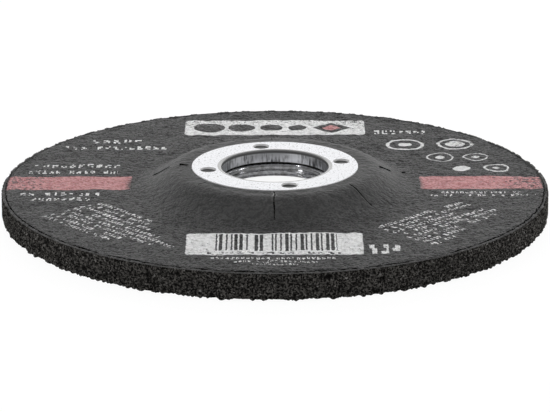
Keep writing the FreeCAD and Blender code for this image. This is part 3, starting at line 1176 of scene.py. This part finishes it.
# %% Material of the label
def label_material():
    """Mottled paper, then ink with worn specks, frayed fibres, painted shadow at the edge and painted shade
    in the slits.
    """
    material, tree, shader, place = new_material("label")
    flat = flattened(place)
    mottle = noise(place, 1.0, 2.0, 0.65)
    wrinkle = noise(place, 0.6, 4.0, 0.62)
    cloud = noise(place, 0.12, 4.0, 0.6)
    specks = noise(place, 1.6, 2.0, 0.65)
    speckle = noise(place, 2.6, 1.0)

    # Bare paper, with pits that grow more frequent towards the rim
    tone = times_add(speckle, 0.35, times(mottle, 0.45))
    tone = times_add(wrinkle, 0.2, tone)
    paper = blended(ease(tone, 0.45, 0.55), DARK_PAPER, PALE_PAPER)
    paper = blended(ease(cloud, 0.4, 0.66, 0.0, 0.5), paper, CLOUDED_PAPER)
    from_axis = vector("LENGTH", flat)
    outwards = ease(from_axis, 38.0, 58.0, 0.0, 0.15)
    pit = ease(times_add(outwards, -0.6, specks), 0.3, 0.25)
    paper = blended(times(pit, 0.75), paper, PAPER_PIT)

    # Masks of ink, in places that drift a little so that no edge is quite straight
    drift = new_node("TexNoise", {"Vector": flat, "Scale": 1.1, "Detail": 2.0}).outputs["Color"]
    drift = vector("MULTIPLY", vector("SUBTRACT", drift, (0.5, 0.5, 0.5)), (0.4, 0.5, 0.0))
    printed = vector("ADD", flat, drift)
    text = small_print(printed, LEVEL_LINES + SLANTED_LINES)
    pale, dark, red = (joined(masks(printed)) for masks in (pale_masks, dark_masks, red_masks))
    pale = maths("ABSOLUTE", maths("SUBTRACT", pale, text))
    worn = ease(times_add(outwards, 1.2, specks), 0.66, 0.72, 1.0, 0.15)
    rubbed = ease(wrinkle, 0.3, 0.42, 0.75, 1.0)
    worn = times(worn, rubbed)
    soft_end = ease(times_add(mottle, 1.5, from_axis), 30.9, 32.6)
    red = times(red, soft_end)

    # Ink on the paper, one colour after the other
    pale_ink = blended(ease(tone, 0.4, 0.6), *PALE_INK)
    red_ink = blended(ease(tone, 0.4, 0.6), *RED_INK)
    colour = blended(times(pale, worn), paper, pale_ink)
    colour = blended(times(dark, worn), colour, blended(0.5, paper, DARK_INK))
    colour = blended(times(red, worn), colour, red_ink)

    # Frayed fibres beside the front slit
    torn = times(stored(tree, "fray"), ease(noise(place, 3.5, 3.0), 0.5, 0.62))
    colour = blended(torn, colour, FRAYED_FIBRE)

    # Painted shadow: a broken black line along the edge in front, which is widest straight ahead
    wavy = times_add(wrinkle, 1.2, from_axis)
    off_crack = maths("ABSOLUTE", maths("SUBTRACT", wavy, label_radius + 0.4))
    forwards = vector("DOT_PRODUCT", flat, (0, -1, 0))
    off_crack = times(off_crack, ease(forwards, 5.0, 45.0, 3.0, 1.0))
    in_front = ease(forwards, -10.0, 2.0)
    broken = times(ease(cloud, 0.4, 0.43), ease(mottle, 0.38, 0.44))
    crack_shadow = times(ease(off_crack, 0.38, 0.26), times(in_front, broken))
    colour = blended(crack_shadow, colour, CRACK_SHADOW_BLACK)

    # Paper under the keying holes, and painted shade on the walls of the slits and the edge, and beside the
    # tears
    lit_in_holes = ease(from_axis, flange_radius - 0.3, flange_radius - 0.5)
    # Painted light: the paper under the holes lies in the flange's shade and is painted lighter
    colour = blended(lit_in_holes, colour, LIT_PAPER_IN_HOLES)
    facing = add(tree, "NewGeometry").outputs["True Normal"]
    paper_wall_shade = maths("GREATER_THAN", vector("LENGTH", flattened(facing)), 0.8)
    tear = stored(tree, "tear")
    colour = blended(maths("MAXIMUM", paper_wall_shade, tear), colour, SLIT_SHADE_BLACK)

    # Relief and gloss, both calmer on the hub and its flank
    roughness = ease(mottle, 0.3, 0.7, 0.34, 0.5)
    relief = times_add(mottle, 3.5, times_add(pit, -0.4, speckle))
    bump_height = times_add(wrinkle, 2.4, relief)
    strength = ease(from_axis, 24.0, 31.0, 0.32, 1.0)
    normal = bumped(bump_height, 0.38, strength)
    gloss = ease(tone, 0.44, 0.55, 0.03, 0.52)
    gloss = times_add(maths("SUBTRACT", gloss, 0.2), strength, 0.2)
    dull = maths("MAXIMUM", times(pit, 0.8), maths("MAXIMUM", paper_wall_shade, tear))
    dull = maths("MAXIMUM", dull, crack_shadow)
    gloss = times(gloss, maths("SUBTRACT", 1.0, dull))
    finish(shader, colour, roughness, normal, {"Specular IOR Level": gloss})
    return material


# %% [markdown]
# ## Plated and drawn steel
#
# The flange was punched from bright plated sheet, so it is almost white with faint scratches and a few dark
# specks, and the cut walls of its holes are pale too. Its mouth is painted grey and ends in a dark lip, both
# painted shade. In the bore the sheet was drawn over a punch, which leaves upright streaks and a duller face,
# with painted shade that deepens towards the lip. The lower ring was spun, so its marks run round it.
# Stretching a noise along one axis makes either kind of mark.

# %% Colours of steel
PLATE = (0.95, 0.957, 0.985, 1)
PLATE_SPECK = grey(0.35)
MOUTH_SHADE = grey(0.5)
DRAWN = (0.84, 0.85, 0.89, 1)
DRAWN_STREAK = (0.12, 0.123, 0.13, 1)
DRAWN_SHADE = grey(0.2)
LIP_SHADE = grey(0.08)
PUNCHED_WALL = grey(0.75)
STAINED_STEEL = grey(0.34)
SPUN_STEEL = (0.62, 0.626, 0.655, 1)


# %% Materials of the two rings
def flange_steel():
    """Bright plate above, and below the mouth a duller wall with upright streaks."""
    material, tree, shader, place = new_material("flange steel")
    height = new_node("SeparateXYZ", {0: place}).outputs[2]
    from_axis = vector("LENGTH", flattened(place))
    mouth = ease(from_axis, bore_radius + 1.1, bore_radius + 0.85)
    wall = ease(times_add(mouth, 0.12, height), ring_top - 0.01, ring_top - 0.06)
    streaks = noise(vector("MULTIPLY", place, (1, 1, 0.12)), 2.6, 4.0, 0.7)
    patches = noise(place, 0.35, 2.0)
    specks = ease(noise(place, 2.4, 1.0), 0.36, 0.31)
    scratches = noise(vector("MULTIPLY", place, (0.25, 3.0, 1.0)), 1.8, 3.0, 0.6)

    # The plate with painted shade at its mouth, and the drawn wall with painted shade deepening to a dark lip
    plate = blended(specks, PLATE, PLATE_SPECK)
    plate = blended(mouth, plate, MOUTH_SHADE)
    streaked = times(ease(streaks, 0.4, 0.6), ease(patches, 0.3, 0.55))
    drawn = blended(streaked, DRAWN, DRAWN_STREAK)
    shade = ease(height, ring_top - 2.4, ring_top - 0.6, 0.0, 0.45)
    drawn = blended(shade, drawn, DRAWN_SHADE)
    lip_shade = ease(height, ring_top - 0.8, ring_top - 0.5)
    drawn = blended(lip_shade, drawn, LIP_SHADE)
    lip_shade = times(lip_shade, wall)
    colour = blended(wall, plate, drawn)

    # Walls of the punched holes: upright, at the height of the sheet and away from the mouth
    facing = add(tree, "NewGeometry").outputs["True Normal"]
    upright = new_node("SeparateXYZ", {0: facing}).outputs[2]
    cut = maths("LESS_THAN", maths("ABSOLUTE", upright), 0.3)
    cut = times(cut, maths("GREATER_THAN", height, flange_seat_level - 0.02))
    cut = times(cut, maths("GREATER_THAN", from_axis, bore_radius + 0.8))
    colour = blended(cut, colour, PUNCHED_WALL)

    # Sharp reflections on the plate and soft ones on the wall
    softness = maths("ADD", scratches, wall)
    roughness = new_node("MapRange", {0: softness, 1: 0.3, 2: 1.7, 3: 0.1, 4: 0.44}).outputs[0]
    normal = bumped(mixed_value(wall, scratches, streaks), 0.03)
    metal = maths("SUBTRACT", 1.0, lip_shade)
    finish(shader, colour, roughness, normal, {"Metallic": metal, "Specular IOR Level": 0.0})
    return material


def collar_steel():
    """Plain steel with marks that run round it."""
    material, _, shader, place = new_material("collar steel")
    rounds = noise(vector("MULTIPLY", place, (0.15, 0.15, 3.0)), 2.0, 3.0, 0.65)
    stain = noise(place, 0.9, 4.0, 0.6)
    colour = blended(ease(stain, 0.35, 0.65), STAINED_STEEL, SPUN_STEEL)
    roughness = ease(rounds, 0.3, 0.7, 0.12, 0.26)
    finish(shader, colour, roughness, bumped(rounds, 0.04), {"Metallic": 1.0})
    return material


# %% [markdown]
# ## Dressing the imported model
#
# Each mesh rides on the body of the imported model and takes the place of one node, which is hidden. The
# solid under it gets the same material.

# %% Dress the pieces and let them ride on the imported model
for piece, node, slot_name, material in (
    (wheel, "abrasive_body", "abrasive", grit_material()),
    (label, "paper_label", "label_paper", label_material()),
    (ring, "label_side_ring", "ring_steel", flange_steel()),
    (face_ring, "face_side_ring", "face_ring_steel", collar_steel()),
):
    piece.data.materials.append(material)
    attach(piece, "root")
    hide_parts(node)
    frame["nodes"][node].data.materials.clear()
    frame["nodes"][node].data.materials.append(material)

# %% [markdown]
# ## Floor and surround
#
# The disc lies on a pale floor in a white surround. Light Path makes both look white to the camera, although
# they light the disc much less. The floor keeps part of the disc's shadow. In reflections it is only partly
# white, and the surround is dark overhead, which gives the steel and the front of the hub their dark side.

# %% Pale floor
floor_half = 3.0
floor_white_share = 0.9
floor_glossy_share = 0.25
floor_glow = 1.05
floor_mesh = bpy.data.meshes.new("floor")
floor_corners = [(x * floor_half, y * floor_half, 0) for x, y in ((-1, -1), (1, -1), (1, 1), (-1, 1))]
floor_mesh.from_pydata(floor_corners, [], [(0, 1, 2, 3)])
floor = bpy.data.objects.new("floor", floor_mesh)
bpy.context.scene.collection.objects.link(floor)


def seen_directly(tree, glossy_share=1.0):
    """1 for rays from the camera and through clear things, the share for glossy rays, and 0 for the rest."""
    path = add(tree, "LightPath").outputs
    glossy = times(path["Is Glossy Ray"], glossy_share)
    return maths("MAXIMUM", maths("MAXIMUM", path["Is Camera Ray"], glossy), path["Is Transmission Ray"])


floor_material = bpy.data.materials.new("pale floor")
floor_material.use_nodes = True
tree = floor_material.node_tree
tree.nodes.clear()
matt = add(tree, "BsdfDiffuse", {"Color": grey(0.8)})
white = add(tree, "Emission", {"Color": grey(1.0), "Strength": floor_glow})
share = times(seen_directly(tree, floor_glossy_share), floor_white_share)
mixed = new_node("MixShader", {0: share, 1: matt.outputs[0], 2: white.outputs[0]})
add(tree, "OutputMaterial", {"Surface": mixed.outputs[0]})
floor_mesh.materials.append(floor_material)

# %% White surround
ambient_strength = 0.3
ceiling_strength = 0.27
world = bpy.data.worlds.new("white surround")
bpy.context.scene.world = world
world.use_nodes = True
tree = world.node_tree
tree.nodes.clear()
path = add(tree, "LightPath").outputs
direction = add(tree, "TexCoord").outputs["Generated"]
towards_ceiling = vector("DOT_PRODUCT", direction, (0, -0.3, 1))
reflected = ease(towards_ceiling, 0.0, 0.45, 1.0, ceiling_strength)
strength = ease(seen_directly(tree), 0.0, 1.0, ambient_strength, 1.0)
strength = mixed_value(path["Is Glossy Ray"], strength, reflected)
surround = new_node("Background", {"Color": grey(1.0), "Strength": strength})
add(tree, "OutputWorld", {"Surface": surround.outputs[0]})

# %% [markdown]
# ## Lamps
#
# Two large softboxes stand behind and above the disc, so that the side towards the camera is the darker one,
# as it is on the real rim. Reflections don't show them. Two low ones light the sides, and two small ones make
# the glints in the bore. Each entry is a name, a place in metres, a size in metres, a power in watts, and
# whether reflections show the lamp.

# %% Softboxes that face the disc
SOFTBOXES = [
    ("back softbox", (0.0, 0.65, 0.373), 0.51, 4.1, False),
    ("top softbox", (0.1, 0.1, 1.3), 0.9, 3.2, False),
    ("right softbox", (1.1, -0.15, 0.1), 0.3, 7.6, True),
    ("left softbox", (-0.85, -0.7, 0.1), 0.3, 5.6, True),
    ("left glint", (-0.83, -0.56, 0.36), 0.2, 1.0, True),
    ("right glint", (0.96, -0.28, 0.33), 0.2, 0.6, True),
]
for name, place, size, power, in_reflections in SOFTBOXES:
    data = bpy.data.lights.new(name, "AREA")
    data.size = size
    data.energy = power
    lamp = bpy.data.objects.new(name, data)
    bpy.context.scene.collection.objects.link(lamp)
    lamp.location = place
    lamp.rotation_euler = (-lamp.location).to_track_quat("-Z", "Y").to_euler()
    lamp.visible_glossy = in_reflections

# %% [markdown]
# ## Camera
#
# The photograph was taken with a long lens from low in front. The place and the lens come from fitting a
# pinhole camera to the ellipses of the rim, the flange and the bore.

# %% Camera at the photograph's viewing angle
camera_place = (0.0, -0.678, 0.21757)
camera_dip = 0.3086
camera_roll = 0.0015
focal_pixels = 3370
frame_width = 550
sensor_width = 36.0
camera_data = bpy.data.cameras.new("camera")
camera_data.sensor_width = sensor_width
camera_data.lens = sensor_width * focal_pixels / frame_width
camera = bpy.data.objects.new("camera", camera_data)
camera.location = camera_place
camera.rotation_mode = "ZXY"
camera.rotation_euler = (math.pi / 2 - camera_dip, 0, -camera_roll)
bpy.context.scene.collection.objects.link(camera)
bpy.context.scene.camera = camera

# %% Colour management
bpy.context.scene.view_settings.view_transform = "Standard"
